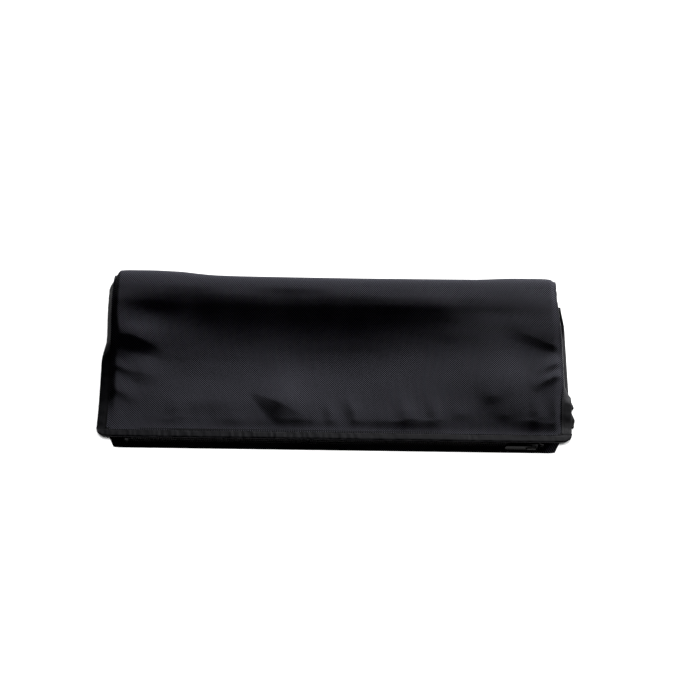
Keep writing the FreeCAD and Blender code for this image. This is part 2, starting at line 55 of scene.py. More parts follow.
# Where the bag's own lines lie, in mm, read from the CAD pieces
hemLow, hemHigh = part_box("hem_binding")
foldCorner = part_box("flap_outer_upper")[1]
ringLow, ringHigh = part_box("fold_binding_right")
bag = {
    "edgeX": hemHigh.x / mm,
    "seamX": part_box("flap_binding_right")[0].x / mm,
    "foldY": foldCorner.y / mm,
    "crestZ": foldCorner.z / mm,
    "hemY": hemHigh.y / mm,
    "mouthY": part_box("base_outer_lower")[0].y / mm,
    "baseTop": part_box("base_outer_upper")[1].z / mm,
    "ply": 0.7,  # thickness of the outer cloth
    "seam": 1.5,  # both plies of a seam together
    "tape": 0.4,  # thickness of the seam binding
    "hemLift": 2.4,  # the sewn edges sit above their solids, so that the cloth runs level into them
    "tuck": 2.0,  # cloth that runs into the binding
    "hingeGap": 0.4,  # left free at the fold, so that the halves don't cut each other when it lies open
}
bag["hemTop"] = hemHigh.z / mm - bag["tape"] + bag["hemLift"]
bag["underZ"] = hemLow.z / mm + bag["tape"] + bag["hemLift"]  # the flap's underside
bag["ringTop"] = ringHigh.z / mm - bag["tape"] + bag["hemLift"]
bag["ringLow"] = ringLow.z / mm + bag["tape"]
foldY = bag["foldY"]
flapLength = foldY - bag["hemY"]
halfSpan = bag["seamX"] + bag["tuck"]
frontCloth = bag["hemY"] - bag["tuck"]
sides = ((-1, "left"), (1, "right"))


def smoothStep(t):
    t = np.clip(t, 0, 1)
    return t * t * (3 - 2 * t)


# Materials
def linearColour(hexText):
    parts = [int(hexText[i : i + 2], 16) / 255 for i in (0, 2, 4)]
    return tuple(c / 12.92 if c <= 0.04045 else ((c + 0.055) / 1.055) ** 2.4 for c in parts) + (1,)


def plug(tree, node, inputs):
    for key, value in inputs.items():
        if isinstance(value, bpy.types.NodeSocket):
            tree.links.new(value, node.inputs[key])
        else:
            node.inputs[key].default_value = value


def addNode(tree, kind, inputs=None, **settings):
    node = tree.nodes.new(kind)
    for name, value in settings.items():
        setattr(node, name, value)
    plug(tree, node, inputs or {})
    return node


def newMaterial(name):
    material = bpy.data.materials.new(name)
    material.use_nodes = True
    tree = material.node_tree
    return material, tree, tree.nodes["Principled BSDF"]


def weaveMaterial(name, look):
    # cloth on its own "cloth" map: threads a pitch apart in mm, over and under each other in a checker;
    # the same checker paints the raised threads lighter and the sunk ones darker, as painted highlight
    # and shade
    material, tree, shader = newMaterial(name)
    place = addNode(tree, "ShaderNodeUVMap", uv_map="cloth").outputs[0]
    axes = addNode(tree, "ShaderNodeSeparateXYZ", {0: place})
    turns = math.pi / (look["pitch"] * mm)
    waves = []
    for axis, perMetre in ((0, turns), (1, turns * look["stretch"])):
        angle = addNode(tree, "ShaderNodeMath", {0: axes.outputs[axis], 1: perMetre},
            operation="MULTIPLY")
        waves.append(addNode(tree, "ShaderNodeMath", {0: angle.outputs[0]}, operation="SINE").outputs[0])
    overUnder = addNode(tree, "ShaderNodeMath", {0: waves[0], 1: waves[1]}, operation="MULTIPLY")
    share = addNode(tree, "ShaderNodeMath", {0: overUnder.outputs[0], 1: look["contrast"], 2: 0.5},
        operation="MULTIPLY_ADD", use_clamp=True)
    # faded patches about 29 mm across, and loose fibres about 1.1 mm long
    cloudy = addNode(tree, "ShaderNodeTexNoise", {"Vector": place, "Scale": 35.0, "Detail": 3.0})
    fibres = addNode(tree, "ShaderNodeTexNoise", {"Vector": place, "Scale": 900.0, "Detail": 2.0})
    # painted highlight on the raised threads and painted shade on the sunk ones, mixed into the cloth's
    # colour
    threadHighlightAndShade = addNode(tree, "ShaderNodeMix",
        {0: share.outputs[0], 6: linearColour(look["dark"]), 7: linearColour(look["light"])},
        data_type="RGBA")
    fade = addNode(tree, "ShaderNodeMath", {0: cloudy.outputs[0], 1: look["wear"]}, operation="MULTIPLY")
    worn = addNode(tree, "ShaderNodeMix",
        {0: fade.outputs[0], 6: threadHighlightAndShade.outputs[2], 7: linearColour(look["worn"])}, data_type="RGBA")
    rough = addNode(tree, "ShaderNodeMath",
        {0: fibres.outputs[0], 1: look["roughSpread"], 2: look["rough"] - look["roughSpread"] / 2},
        operation="MULTIPLY_ADD")
    height = addNode(tree, "ShaderNodeMath",
        {0: fibres.outputs[0], 1: look["fuzz"], 2: overUnder.outputs[0]}, operation="MULTIPLY_ADD")
    bump = addNode(tree, "ShaderNodeBump",
        {"Height": height.outputs[0], "Strength": look["bump"], "Distance": look["relief"] * mm})
    plug(tree, shader, {
        "Base Color": worn.outputs[2], "Roughness": rough.outputs[0], "Normal": bump.outputs[0],
        "IOR": 1.53,  # polyamide
        "Specular IOR Level": look["gloss"],
    })
    return material


# 1000 denier nylon, basket woven and dyed black: pairs of threads 1 mm wide catch the light in a checker,
# painted into its colour as highlight and shade
ballisticNylon = weaveMaterial("ballisticNylon", {
    "pitch": 1.03, "stretch": 0.93, "contrast": 2.0, "fuzz": 0.12,
    "dark": "000000", "light": "62626E", "worn": "26262B", "wear": 0.1,
    "rough": 0.75, "roughSpread": 0.12, "gloss": 0.05, "relief": 0.2, "bump": 1.0,
})
# nylon seam tape, plain weave of threads 0.45 mm apart: smooth from afar, with a slight shine and a faint
# painted highlight and shade on its threads
nylonTape = weaveMaterial("nylonTape", {
    "pitch": 0.45, "stretch": 1.0, "contrast": 0.5, "fuzz": 0.12,
    "dark": "121215", "light": "29292E", "worn": "303036", "wear": 0.4,
    "rough": 0.6, "roughSpread": 0.2, "gloss": 0.1, "relief": 0.08, "bump": 0.4,
})
# light 200 denier nylon of the sleeves, fine plain weave: soft and matt, with a faint painted highlight
# and shade on its threads
sleeveNylon = weaveMaterial("sleeveNylon", {
    "pitch": 0.5, "stretch": 1.0, "contrast": 0.5, "fuzz": 0.12,
    "dark": "0E0E10", "light": "1D1D21", "worn": "232328", "wear": 0.3,
    "rough": 0.65, "roughSpread": 0.15, "gloss": 0.1, "relief": 0.08, "bump": 0.5,
})


def grainMaterial(name, look):
    # moulded, coated or spun stuff on Object coordinates: grain and relief in mm
    material, tree, shader = newMaterial(name)
    place = addNode(tree, "ShaderNodeTexCoord").outputs["Object"]
    grain = addNode(tree, "ShaderNodeTexNoise",
        {"Vector": place, "Scale": 1 / (look["grain"] * mm), "Detail": 3.0})
    # uneven patches about 17 mm across
    patches = addNode(tree, "ShaderNodeTexNoise", {"Vector": place, "Scale": 60.0, "Detail": 2.0})
    colour = addNode(tree, "ShaderNodeMix",
        {0: patches.outputs[0], 6: linearColour(look["dark"]), 7: linearColour(look["light"])},
        data_type="RGBA")
    rough = addNode(tree, "ShaderNodeMath",
        {0: grain.outputs[0], 1: look["roughSpread"], 2: look["rough"] - look["roughSpread"] / 2},
        operation="MULTIPLY_ADD")
    bump = addNode(tree, "ShaderNodeBump",
        {"Height": grain.outputs[0], "Strength": 0.4, "Distance": look["relief"] * mm})
    plug(tree, shader, {
        "Base Color": colour.outputs[2], "Roughness": rough.outputs[0], "Normal": bump.outputs[0],
        "IOR": look["ior"], "Specular IOR Level": look.get("gloss", 0.5),
    })
    return material


# nylon coated with black rubber: dull, with a faint orange-peel
rubberisedNylon = grainMaterial("rubberisedNylon", {
    "grain": 0.6, "relief": 0.03, "dark": "0A0A0A", "light": "141416",
    "rough": 0.62, "roughSpread": 0.1, "ior": 1.5,
})
# knitted elastic webbing: rubber cores under a matt braid
knittedElastic = grainMaterial("knittedElastic", {
    "grain": 0.8, "relief": 0.08, "dark": "0D0D0E", "light": "19191B",
    "rough": 0.75, "roughSpread": 0.1, "ior": 1.5,
})
# woven polyester zip tape, dyed black, matt
zipTapeCloth = grainMaterial("zipTapeCloth", {
    "grain": 0.5, "relief": 0.05, "dark": "0D0D0F", "light": "18181A",
    "rough": 0.7, "roughSpread": 0.1, "ior": 1.5,
})
# nylon monofilament coil: smooth drawn plastic with a soft shine
coilNylon = grainMaterial("coilNylon", {
    "grain": 0.3, "relief": 0.01, "dark": "0C0C0D", "light": "151516",
    "rough": 0.32, "roughSpread": 0.08, "ior": 1.53,
})
# zinc die casting under black enamel: a slight orange-peel and a satin shine
enamelledZinc = grainMaterial("enamelledZinc", {
    "grain": 0.7, "relief": 0.01, "dark": "060606", "light": "0C0C0D",
    "rough": 0.5, "roughSpread": 0.1, "ior": 1.5, "gloss": 0.2,
})
# stamped brass stop, lacquered black: a low shine with softly lit edges
lacqueredStop = grainMaterial("lacqueredStop", {
    "grain": 0.5, "relief": 0.01, "dark": "0F0F0F", "light": "1B1B1C",
    "rough": 0.38, "roughSpread": 0.1, "ior": 1.5,
})
# bonded polyester sewing thread, black: a dry matt line that hardly glints
sewingThread = grainMaterial("sewingThread", {
    "grain": 0.25, "relief": 0.02, "dark": "050505", "light": "0A0A0B",
    "rough": 0.8, "roughSpread": 0.1, "ior": 1.5, "gloss": 0.1,
})
# matt white paper sweep: even and shadowless to the eye
paperSweep = grainMaterial("paperSweep", {
    "grain": 2.0, "relief": 0.01, "dark": "F4F4F4", "light": "FAFAFA",
    "rough": 0.9, "roughSpread": 0.05, "ior": 1.45,
})
print("materials made")


# The cloth's shape
# Height of the flap's cloth in mm: a row for each x in mm, from the fold's crest to the hem
flapShape = {
    "fromFold": (0, 9, 18, 28, 38, 48, 58, 68, 80, 100, 120, 140, 152.4, 165),
    -215: (42, 41.5, 40.6, 38.8, 36.2, 33.2, 30.2, 27.4, 25.2, 22.4, 20.3, 18.7, 17.9, 17.9),
    -190: (42, 41.3, 39.7, 36.2, 33.8, 31.6, 28.6, 25.2, 23.6, 21.6, 20.0, 18.6, 17.9, 17.9),
    -172: (42, 41.0, 38.6, 33.8, 32.2, 30.6, 27.6, 24.4, 23.0, 21.2, 19.8, 18.5, 17.8, 17.8),
    -156: (41.4, 40.2, 37.4, 32.8, 30.4, 28.8, 26.4, 24.0, 22.4, 20.9, 20.0, 18.5, 17.8, 17.8),
    -132: (40.2, 38.7, 36.0, 32.0, 29.0, 26.9, 25.0, 23.2, 21.4, 20.2, 20.2, 18.2, 17.7, 17.7),
    -90: (39, 37.9, 35.4, 31.2, 27.4, 24.8, 23.0, 21.7, 20.7, 20.4, 20.3, 18.9, 17.8, 17.8),
    14: (38.4, 37.7, 35.5, 31.3, 27.1, 24.1, 22.0, 20.4, 19.8, 20.1, 19.6, 18.4, 17.8, 17.8),
    55: (38.5, 38.0, 36.1, 32.2, 28.6, 26.0, 24.2, 23.0, 22.3, 21.6, 20.7, 19.3, 17.8, 17.8),
    84: (38.6, 38.3, 36.7, 33.3, 30.1, 27.8, 26.0, 24.8, 24.0, 23.1, 21.7, 19.6, 17.8, 17.8),
    125: (38.8, 38.6, 37.2, 34.5, 32.1, 30.3, 28.7, 27.5, 26.5, 24.8, 22.6, 19.9, 17.9, 17.9),
    152: (39, 38.7, 37.3, 34.8, 33.0, 31.3, 29.8, 28.7, 28.0, 26.7, 23.9, 20.2, 17.9, 17.9),
    177: (39.2, 38.9, 37.7, 35.8, 34.0, 31.9, 29.9, 28.6, 27.8, 26.6, 24.2, 20.6, 17.9, 17.9),
    196: (39.2, 39.0, 38.1, 36.8, 35.4, 33.4, 31.0, 29.2, 28.3, 27.0, 24.2, 20.4, 17.9, 17.9),
    215: (39.2, 39.0, 38.2, 37.2, 36.2, 34.4, 32.0, 29.8, 28.5, 27.0, 24.0, 20.0, 17.9, 17.9),
}

# Folds pressed into the cloth, in mm: a ridge on each line, soft behind it and falling evenly in front.
# Each has its line's start, middle and end, its rise and its front's length there, and its reach behind.
clothFolds = [
    {"line": [(-207, 16), (-184, 13), (-153, -1)], "rise": (0.8, 3.0, 0.3),
        "front": (3, 11, 8), "back": 14},
    {"line": [(158, 31), (180, 20), (207, 7)], "rise": (0, 0.9, 1.0), "front": (12, 9, 5), "back": 15},
    {"line": [(-78, -41), (-50, -54), (-16, -74)], "rise": (0, 3.6, 0.3),
        "front": (3, 18, 26), "back": 26},
    {"line": [(131, -48), (143, -45), (156, -48)], "rise": (0, 0.9, 0), "front": (6, 8, 6), "back": 12},
    {"line": [(144, -66), (154, -64), (164, -68)], "rise": (0, 0.6, 0), "front": (5, 6, 5), "back": 9},
    {"line": [(102, -66), (115, -63), (128, -66)], "rise": (0, 0.5, 0), "front": (5, 7, 5), "back": 9},
    {"line": [(207, -8), (196, -13), (182, -22)], "rise": (2.0, 1.6, 0), "front": (4, 5, 6), "back": 8},
    {"line": [(207, -22), (194, -28), (180, -38)], "rise": (2.0, 1.7, 0),
        "front": (4, 5, 6), "back": 8},
    {"line": [(-207, -16), (-196, -17), (-182, -25)], "rise": (1.0, 0.9, 0),
        "front": (4, 5, 5), "back": 8},
    {"line": [(-207, -40), (-194, -44), (-178, -56)], "rise": (0.8, 0.7, 0),
        "front": (4, 6, 6), "back": 9},
    {"line": [(-207, 4), (-190, -4), (-174, -18)], "rise": (0.7, 0.7, 0),
        "front": (6, 8, 8), "back": 9},
    {"line": [(-200, -20), (-178, -22), (-158, -30)], "rise": (0, 1.4, 0),
        "front": (8, 12, 8), "back": 14},
    {"line": [(8, -42), (16, -60), (18, -76)], "rise": (0, 1.0, 0.4), "front": (6, 7, 7), "back": 7},
    {"line": [(-8, -48), (-5, -62), (-4, -76)], "rise": (0, 0.9, 0.4), "front": (5, 6, 6), "back": 6},
    {"line": [(58, -40), (63, -60), (63, -76)], "rise": (0, 1.2, 0.4), "front": (8, 9, 9), "back": 9},
    {"line": [(86, -44), (90, -60), (90, -76)], "rise": (0, 1.0, 0.4), "front": (6, 7, 7), "back": 7},
    {"line": [(183, -40), (184, -60), (184, -76)], "rise": (0, 1.0, 0.4),
        "front": (6, 7, 7), "back": 7},
    {"line": [(200, -42), (201, -60), (201, -76)], "rise": (0, 0.9, 0.4),
        "front": (5, 6, 6), "back": 6},
    {"line": [(-150, -42), (-146, -60), (-146, -76)], "rise": (0, 0.8, 0.3),
        "front": (8, 9, 9), "back": 9},
    {"line": [(94, 28), (104, 22), (120, 20)], "rise": (0, 0.3, 0), "front": (6, 8, 6), "back": 8},
]
seamDip = {-1: 2.6, 1: 1.1}  # mm from the cloth's top down to its left and right side seams
seamDrift = {  # how far each side seam strays sideways, in mm, going from the fold to the hem
    "left": [(0, -2.5), (60, -1.0), (152.4, 0.2)],
    "right": [(0, -1.8), (20, -0.8), (55, 1.3), (90, 1.6), (152.4, -0.4)],
}
ruffles = {  # height, breadth and seed of the cloth's small unevenness
    "waves": (0.9, 70, 3.1),
    "ripples": (0.35, 24, 7.7),
    "hemPuckers": (0.35, 11, 1.3),
}


def foldHeight(x, y, fold):
    # height of one fold at places in mm; its line is walked in short steps
    start, bend, stop = [np.array(point, float) for point in fold["line"]]
    best = np.full(x.shape, 1e9)
    height = np.zeros(x.shape)
    steps = 14
    at = np.linspace(0, 1, steps + 1)
    pull = 2 * bend - (start + stop) / 2  # the curve's control point, so that it passes through bend
    points = [(1 - t) ** 2 * start + 2 * t * (1 - t) * pull + t * t * stop for t in at]
    rises = np.interp(at, (0, 0.5, 1), fold["rise"])
    fronts = np.interp(at, (0, 0.5, 1), fold["front"])
    for i in range(steps):
        along = points[i + 1] - points[i]
        ax, ay = x - points[i][0], y - points[i][1]
        t = np.clip((ax * along[0] + ay * along[1]) / (along @ along), 0, 1)
        away = np.hypot(ax - t * along[0], ay - t * along[1])
        side = along[0] * ay - along[1] * ax  # above the line where it runs to the right
        behind = side * (1 if along[0] >= 0 else -1) >= 0
        front = fronts[i] + (fronts[i + 1] - fronts[i]) * t
        share = np.where(behind, np.exp(-((away / fold["back"]) ** 2)), np.clip(1 - away / front, 0, 1))
        nearer = away < best
        height = np.where(nearer, share * (rises[i] + (rises[i + 1] - rises[i]) * t), height)
        best = np.minimum(best, away)
    return height


def curveThrough(points, at):
    # smooth line through (place, value) points that never overshoots them
    xs = np.array([p[0] for p in points], float)
    ys = np.array([p[1] for p in points], float)
    slopes = np.diff(ys) / np.diff(xs)
    tangents = np.zeros(len(xs))
    for i in range(1, len(xs) - 1):
        if slopes[i - 1] * slopes[i] > 0:
            tangents[i] = 2 / (1 / slopes[i - 1] + 1 / slopes[i])
    i = np.clip(np.searchsorted(xs, at, side="right") - 1, 0, len(xs) - 2)
    span = xs[i + 1] - xs[i]
    t = np.clip((at - xs[i]) / span, 0, 1)
    return (
        ys[i] * (1 + 2 * t) * (1 - t) ** 2
        + tangents[i] * span * t * (1 - t) ** 2
        + ys[i + 1] * t * t * (3 - 2 * t)
        + tangents[i + 1] * span * t * t * (t - 1)
    )


def ruffle(x, y, size, seed):
    # soft uneven height, about -1 to 1, over places in mm
    spots = zip(x.ravel(), y.ravel())
    return np.array([noise.noise(Vector((a / size, b / size, seed))) for a, b in spots]).reshape(x.shape)


def fullness(x, d, end, reach=None):
    # 1 over the middle of the bag, falling to 0 at the side seam over end mm, or reach mm off the fold
    fall = end if reach is None else end + (reach - end) * smoothStep(d / 60)
    t = np.clip((np.abs(x) - (bag["seamX"] - fall)) / fall, 0, 1)
    return (1 - t**2.2) ** 1.1


def seamHeight(side, d):
    # top of the flap's side seam, a little below the cloth beside it and level with the hem at its end;
    # the last 20 mm at each end ease it into the ring behind the fold and into the hem
    level = bag["underZ"] + bag["seam"]
    row = flapShape[215 if side > 0 else -215]
    beside = curveThrough(list(zip(flapShape["fromFold"], row)), d)
    atFold = row[0] - bag["ringTop"]
    below = atFold + (seamDip[side] - atFold) * smoothStep(d / 20)
    return level + np.maximum(beside - below - level, 0) * smoothStep((flapLength - d) / 20)


def flapMiddle(x, d):
    # smooth surface through the rows of flapShape
    places = [key for key in flapShape if key != "fromFold"]
    rows = [curveThrough(list(zip(flapShape["fromFold"], flapShape[key])), d) for key in places]
    height = rows[0] + 0 * x
    for i in range(len(places) - 1):
        t = np.clip((x - places[i]) / (places[i + 1] - places[i]), 0, 1)
        start, end = rows[i], rows[i + 1]
        before, after = rows[max(i - 1, 0)], rows[min(i + 2, len(rows) - 1)]
        bend = (end - before) * t * (1 - t) ** 2 / 2 - (after - start) * t * t * (1 - t) / 2
        height = np.where(x >= places[i], start + (end - start) * t * t * (3 - 2 * t) + bend, height)
    return height


def skew(x, d):
    # sideways shift of the flap's cloth, in mm
    d = np.clip(d, 0, 152.4)
    left, right = curveThrough(seamDrift["left"], d), curveThrough(seamDrift["right"], d)
    return left + (right - left) * np.clip(x / 412 + 0.5, 0, 1)


def flapTopHeight(x, y):
    # upper face of the flap's top cloth
    d = foldY - y
    edge = np.where(x < 0, seamHeight(-1, d), seamHeight(1, d))
    middle = flapMiddle(x, d)
    calm = smoothStep((d - 1) / 9) * (1 - smoothStep((d - flapLength + 12) / 11))
    for fold in clothFolds:
        middle = middle + foldHeight(x, y, fold) * calm
    nearHem = np.exp(-(((d - flapLength) / 22) ** 2))
    for name, stretch, where in (("waves", 1.4, 1), ("ripples", 1, 1), ("hemPuckers", 0.3, nearHem)):
        size, breadth, seed = ruffles[name]
        middle = middle + calm * where * size * ruffle(x, y * stretch, breadth, seed)
    return edge + fullness(x, d, 4, 7) * (middle - edge)


def flapUnderHeight(x, y):
    # lower face of the flap's underside cloth
    d = foldY - y
    level = bag["underZ"]
    edge = np.where(x < 0, seamHeight(-1, d), seamHeight(1, d)) - bag["seam"]
    return edge + fullness(x, d, 14) * (level - edge)


def baseHeight(x, middle, edge):
    # the lower half's cloth, level at middle and drawn to the seam's height at its edge
    return edge + fullness(x, 0, 14) * (middle - edge)


def insideSeam(x):
    return np.clip(x, -bag["seamX"], bag["seamX"])


# Making cloth
def finishPiece(name, bm, material):
    bmesh.ops.recalc_face_normals(bm, faces=bm.faces[:])
    for edge in bm.edges:
        edge.smooth = len(edge.link_faces) == 2 and edge.calc_face_angle(0) < math.radians(50)
    for face in bm.faces:
        face.smooth = True
    mesh = bpy.data.meshes.new(name)
    bm.to_mesh(mesh)
    bm.free()
    piece = bpy.data.objects.new(name, mesh)
    bpy.context.scene.collection.objects.link(piece)
    mesh.materials.append(material)
    return piece


def clothPiece(name, counts, sizes, pointsAt, thick, material, closed=False, inward=False):
    # a sheet of counts[0] by counts[1] cells, bent by pointsAt and given a thickness in mm;
    # sizes are its real width and length in mm, which the weave follows
    bm = bmesh.new()
    bmesh.ops.create_grid(bm, x_segments=counts[0], y_segments=counts[1], size=0.5)
    flat = np.array([v.co[:2] for v in bm.verts]) + 0.5
    places = pointsAt(flat[:, 0], flat[:, 1])
    weave = bm.loops.layers.uv.new("cloth")
    for face in bm.faces:
        for loop in face.loops:
            u, w = flat[loop.vert.index]
            loop[weave].uv = (u * sizes[0] * mm, w * sizes[1] * mm)
    for vert, place in zip(bm.verts, places):
        vert.co = place
    if closed:
        bmesh.ops.remove_doubles(bm, verts=bm.verts[:], dist=0.01 * mm)
    bm.normal_update()
    bmesh.ops.solidify(bm, geom=bm.faces[:], thickness=(-thick if inward else thick) * mm)
    return finishPiece(name, bm, material)


def stack(x, y, z):
    # places in metres from coordinates in mm
    x, y, z = np.broadcast_arrays(x, y, z)
    return np.stack([x, y, z], axis=-1) * mm


def spread(low, high, share):
    return low + (high - low) * share


# Outer cloth
def flapPoints(heightAt):
    # one ply of the flap, from its hem (w = 0) to the fold (w = 1)
    def pointsAt(u, w):
        x = (u - 0.5) * 2 * halfSpan
        y = spread(frontCloth, foldY, w)
        return stack(x + skew(x, foldY - y), y, heightAt(insideSeam(x), y))

    return pointsAt


clothWide = 2 * halfSpan
flapDeep = foldY - frontCloth
flapFace = clothPiece("flapFace", (280, 112), (clothWide, flapDeep),
    flapPoints(flapTopHeight), bag["ply"], ballisticNylon)
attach(flapFace, "flap")
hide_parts("flap_outer_upper")
flapUnderFace = clothPiece("flapUnderFace", (140, 60), (clothWide, flapDeep),
    flapPoints(flapUnderHeight), bag["ply"], ballisticNylon, inward=True)
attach(flapUnderFace, "flap")
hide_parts("flap_outer_lower")
print("flap faces made")

roll = {
    "bluntness": 0.64,  # below 1, the half turn behind the fold is blunter than a circle
    "reach": 0.89,  # how far it stands back, as a share of its radius
    "leftSwell": {"by": 0.14, "from": -110, "over": -40},  # more reach beyond an x, over so many mm
    "rightSwell": {"by": 0.10, "from": 130, "over": 40},
    "innerLength": 14,  # mm round the inner roll, for its weave
}


def roundTurn(angle):
    rise = np.sign(np.cos(angle)) * np.abs(np.cos(angle)) ** roll["bluntness"]
    return np.clip(np.sin(angle), 0, 1) ** roll["bluntness"], rise


# the turn's outline for a radius of 1, and how far each angle lies along it
turnAngles = math.pi * (1 - np.cos(np.linspace(0, math.pi, 400))) / 2
turnBack, turnRise = roundTurn(turnAngles)
turnSteps = np.hypot(np.diff(turnBack), np.diff(turnRise))
turnWalked = np.concatenate([[0], np.cumsum(turnSteps)])
turnLength = turnWalked[-1]


def ringPoints(lowAt, highAt):
    # half turn behind the fold, from the lower half (w = 0) round to the flap (w = 1)
    def pointsAt(u, w):
        x = (u - 0.5) * 2 * halfSpan
        low, high = lowAt(x), highAt(x)
        radius, middle = (high - low) / 2, (high + low) / 2
        out, rise = roundTurn(np.interp(w * turnLength, turnWalked, turnAngles))
        reach = roll["reach"]
        for swell in (roll["leftSwell"], roll["rightSwell"]):
            reach = reach + swell["by"] * smoothStep((x - swell["from"]) / swell["over"])
        return stack(x + skew(x, 0) * w, foldY + radius * reach * out, middle - radius * rise)

    return pointsAt


def rollTopAt(x):
    return flapTopHeight(insideSeam(x), np.full(np.shape(x), foldY))


def rollBottomAt(x):
    return baseHeight(insideSeam(x), 0, bag["ringLow"])


def innerTopAt(x):
    return flapUnderHeight(insideSeam(x), np.full(np.shape(x), foldY)) + bag["ply"]


def innerBottomAt(x):
    return baseHeight(insideSeam(x), bag["baseTop"], bag["ringLow"] + bag["seam"]) - bag["ply"]


rollFace = clothPiece("rollFace", (280, 60), (clothWide, turnLength * bag["crestZ"] / 2),
    ringPoints(rollBottomAt, rollTopAt), bag["ply"], ballisticNylon, inward=True)
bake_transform(rollFace)
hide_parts("fold_outer_cover", "fold_lining_outer")
innerRollFace = clothPiece("innerRollFace", (140, 24), (clothWide, roll["innerLength"]),
    ringPoints(innerBottomAt, innerTopAt), bag["ply"], ballisticNylon, inward=True)
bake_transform(innerRollFace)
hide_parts("fold_inner_cover", "fold_lining_inner")

lowerHalf = {
    "lipReach": 7.9,  # mm that the lower ply's hem runs on under the zip
    "lipSink": 0.2,  # mm that the zip presses it down
    "cornerCut": 7.7,  # mm taken off each end at the mouth
    "cornerRun": 16,  # mm back from the mouth where the cut ends
    "waves": (0.25, 40, 2.2),  # height, breadth and seed of the upper ply's unevenness
}


def basePoints(middle, edge, lift, lipReach=0.0):
    # one ply of the lower half, from the mouth (w = 0) to the fold (w = 1)
    def pointsAt(u, w):
        front = bag["mouthY"] - lipReach
        y = spread(front, foldY - bag["hingeGap"], w)
        cut = lowerHalf["cornerCut"] * np.clip(1 - (y - front) / lowerHalf["cornerRun"], 0, 1)
        x = (u - 0.5) * 2 * (halfSpan - cut)
        size, breadth, seed = lowerHalf["waves"]
        calm = smoothStep((y - bag["mouthY"]) / 20) * fullness(x, 0, 40)
        soft = size * ruffle(x, y, breadth, seed + lift) * calm
        pressed = lowerHalf["lipSink"] * smoothStep((bag["mouthY"] + 3 - y) / 3) * (lipReach > 0)
        return stack(x, y, baseHeight(insideSeam(x), middle, edge) + soft * lift - pressed)

    return pointsAt


baseDeep = foldY - bag["mouthY"]
baseLowerFace = clothPiece("baseLowerFace", (140, 60), (clothWide, baseDeep),
    basePoints(0, bag["ringLow"], 0, lowerHalf["lipReach"]), bag["ply"], ballisticNylon, inward=True)
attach(baseLowerFace, "base")
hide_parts("base_outer_lower")
baseUpperFace = clothPiece("baseUpperFace", (200, 90), (clothWide, baseDeep),
    basePoints(bag["baseTop"], bag["ringLow"] + bag["seam"], -1), bag["ply"], ballisticNylon)
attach(baseUpperFace, "base")
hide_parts("base_outer_upper")
print("roll and lower half made")

# The linings lie just inside the cloth.
lining = {
    "thick": 0.4,
    "gap": bag["ply"] + 0.15,  # mm from the cloth's outside to the lining
    "flapFront": foldY - 108,  # front edge of the flap's linings
    "waves": (0.12, 30, 6.1),  # height, breadth and seed of the unevenness
    "upperEdge": 6.0,  # mm, height of the lower half's linings at their sides
    "lowerEdge": 3.6,
}


def liningPiece(name, node, body, front, heightAt, inward=False):
    low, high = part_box(node)
    back = high.y / mm - (bag["hingeGap"] if body == "base" else 0)

    def pointsAt(u, w):
        x, y = spread(low.x, high.x, u) / mm, spread(front, back, w)
        return stack(x, y, heightAt(x, y))

    sizes = ((high.x - low.x) / mm, (high.y - low.y) / mm)
    piece = clothPiece(name, (70, 30), sizes, pointsAt, lining["thick"], rubberisedNylon, inward=inward)
    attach(piece, body)
    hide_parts(node)
    return piece


def baseLiningHeight(middle, edge):
    size, breadth, seed = lining["waves"]
    return lambda x, y: baseHeight(x, middle, edge) + size * ruffle(x, y, breadth, seed)


flapLiningTop = liningPiece("flapLiningTop", "flap_lining_upper", "flap", lining["flapFront"],
    lambda x, y: flapTopHeight(x, y) - lining["gap"])
flapLiningUnder = liningPiece("flapLiningUnder", "flap_lining_lower", "flap", lining["flapFront"],
    lambda x, y: flapUnderHeight(x, y) + lining["gap"], inward=True)
upperLow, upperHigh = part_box("base_lining_upper")
baseLiningUpper = liningPiece("baseLiningUpper", "base_lining_upper", "base", upperLow.y / mm,
    baseLiningHeight(upperHigh.z / mm - 0.2, lining["upperEdge"]))
lowerLow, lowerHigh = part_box("base_lining_lower")
baseLiningLower = liningPiece("baseLiningLower", "base_lining_lower", "base", lowerLow.y / mm,
    baseLiningHeight(lowerHigh.z / mm, lining["lowerEdge"]))

print("linings made")


# Seam binding: a tape folded over the sewn edges, in mm
binding = {
    "width": bag["edgeX"] - bag["seamX"],
    "half": (bag["seam"] + bag["tape"]) / 2 + 0.05,  # from the middle of the seam to the tape
    "stitchInset": 1.7,  # from the tape's inner edge
    "stitchPitch": 2.7,
    "stitchLength": 1.9,
    "threadRadius": 0.22,
    "hemSeat": 0.18,  # depth of the groove that the stitches pull into the hem,
    "sideSeat": 0.15,  # and into the side tapes
    "hemPucker": (0.22, 0.42),  # height of the gathers between stitches, at the hem's right and left
    "sidePucker": 0.3,
    "corner": 11.0,  # rounding of the hem's outer corners
    "cornerCut": 0.85,  # how much of that rounding the tape takes
    # how the side tapes hang: degrees down at the fold, degrees lost, from and over how many mm
    "droop": {-1: (56, 46, 52, 30), 1: (74, 62, 96, 28)},
    "lowerRise": {-1: 62, 1: 50},  # degrees up at the fold, on the lower half
}
tapeWide = binding["width"] - 0.2
tapeAround = 2 * (tapeWide - binding["half"]) + math.pi * binding["half"]


def tapeSection(w):
    # place round a folded tape: out is 0 at its inner edges and widest at its fold; up crosses it
    half = binding["half"]
    turn = math.pi * half
    flat = tapeWide - half
    s = w * tapeAround
    angle = np.clip((s - flat) / half, 0, math.pi)
    out = np.where(s < flat, s, np.where(s > flat + turn, tapeAround - s, flat + half * np.sin(angle)))
    up = np.where(s < flat, half, np.where(s > flat + turn, -half, half * np.cos(angle)))
    return out, up


def stitchSeat(out, up):
    # share of the stitches' groove in the upper face, 1 along the stitches
    return np.exp(-(((out - binding["stitchInset"]) / 0.6) ** 2)) * (up > 0)


def sidePucker(along, out, seed):
    return binding["sidePucker"] * ruffle(along, out * 0.2, 5, seed) * smoothStep((out - 1.5) / 4)


